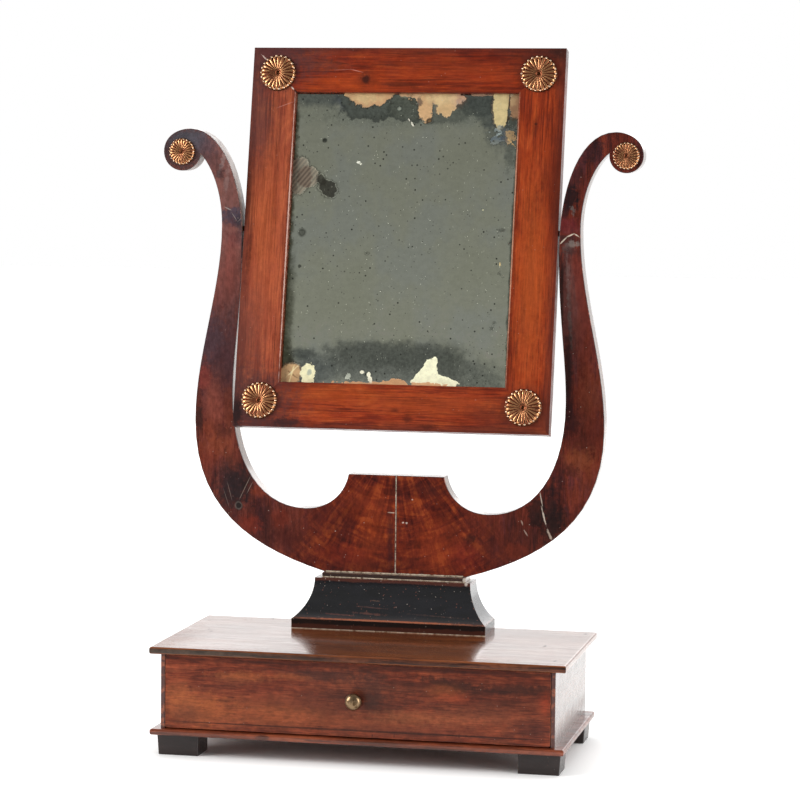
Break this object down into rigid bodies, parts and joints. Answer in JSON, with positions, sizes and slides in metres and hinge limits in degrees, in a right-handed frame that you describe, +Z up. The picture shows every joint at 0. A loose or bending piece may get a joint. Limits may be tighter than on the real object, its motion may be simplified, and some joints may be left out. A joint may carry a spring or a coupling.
{
  "type": "dressing table mirror",
  "caption": "Table mirror on a lyre-shaped stand: the framed mirror tilts between the arms, over a shallow box with a drawer.",
  "frame": {"origin": "on the floor plane under the centre of the whole object's box at rest", "axes": "+X to the right along the box, +Y from the drawer's face to the back, +Z up"},
  "size_m": [0.518, 0.2594, 0.7306],
  "materials": {
    "mahogany_board": "worn varnished mahogany veneer, glossy at low angles",
    "mahogany_frame": "varnished mahogany veneer, orange-red, worn arrises",
    "mahogany_arm": "dark varnished mahogany",
    "flame_veneer": "varnished flame mahogany veneer, matched at the middle",
    "ebonised": "worn black polish with brown arrises",
    "pine": "bare aged pine",
    "dowel_wood": "bare beech",
    "gilt_brass": "stamped gilt brass, darkened in the flutes",
    "pin_brass": "darkened brass",
    "knob_brass": "worn turned brass",
    "iron": "dark hand-made iron",
    "silvered_glass": "old silvering, foxed and flaked at its edges"
  },
  "bodies": {
    "stand": {"top_board": "mahogany_board", "bottom_board": "mahogany_board", "box_left_end": "mahogany_board", "box_right_end": "mahogany_board", "lyre_left_half": "mahogany_arm", "lyre_right_half": "mahogany_arm", "lyre_left_veneer": "flame_veneer", "lyre_right_veneer": "flame_veneer", "plinth_base": "ebonised", "plinth_cove": "ebonised", "plinth_cap": "ebonised", "front_left_foot": "ebonised", "front_right_foot": "ebonised", "rear_left_foot": "ebonised", "rear_right_foot": "ebonised", "box_back": "pine", "foot_dowels": "dowel_wood", "lyre_joint_dowels": "dowel_wood", "lyre_stand_dowels": "dowel_wood", "scroll_rosette_left": "gilt_brass", "scroll_rosette_right": "gilt_brass", "scroll_rosette_pins": "pin_brass", "top_brads": "iron", "bottom_brads": "iron", "plinth_screws": "iron"},
    "mirror": {"frame_top_rail": "mahogany_frame", "frame_bottom_rail": "mahogany_frame", "frame_left_stile": "mahogany_frame", "frame_right_stile": "mahogany_frame", "mirror_backboard": "pine", "rosette_top_left": "gilt_brass", "rosette_top_right": "gilt_brass", "rosette_bottom_left": "gilt_brass", "rosette_bottom_right": "gilt_brass", "frame_rosette_pins": "pin_brass", "backboard_sprigs": "iron", "pivot_pin_left": "iron", "pivot_pin_right": "iron", "mirror_glass": "silvered_glass"},
    "drawer": {"drawer_front": "mahogany_board", "drawer_left_side": "pine", "drawer_right_side": "pine", "drawer_back": "pine", "drawer_bottom": "pine", "drawer_knob": "knob_brass", "knob_nut": "iron"}
  },
  "joints": [
    {"name": "mirror_tilt", "type": "hinge", "parent": "stand", "child": "mirror", "pos_m": [0, 0.08257, 0.536], "axis": [1, 0, 0], "continuous": true},
    {"name": "drawer_slide", "type": "slide", "parent": "stand", "child": "drawer", "axis": [0, -1, 0], "range_m": [0, 0.15]}
  ]
}
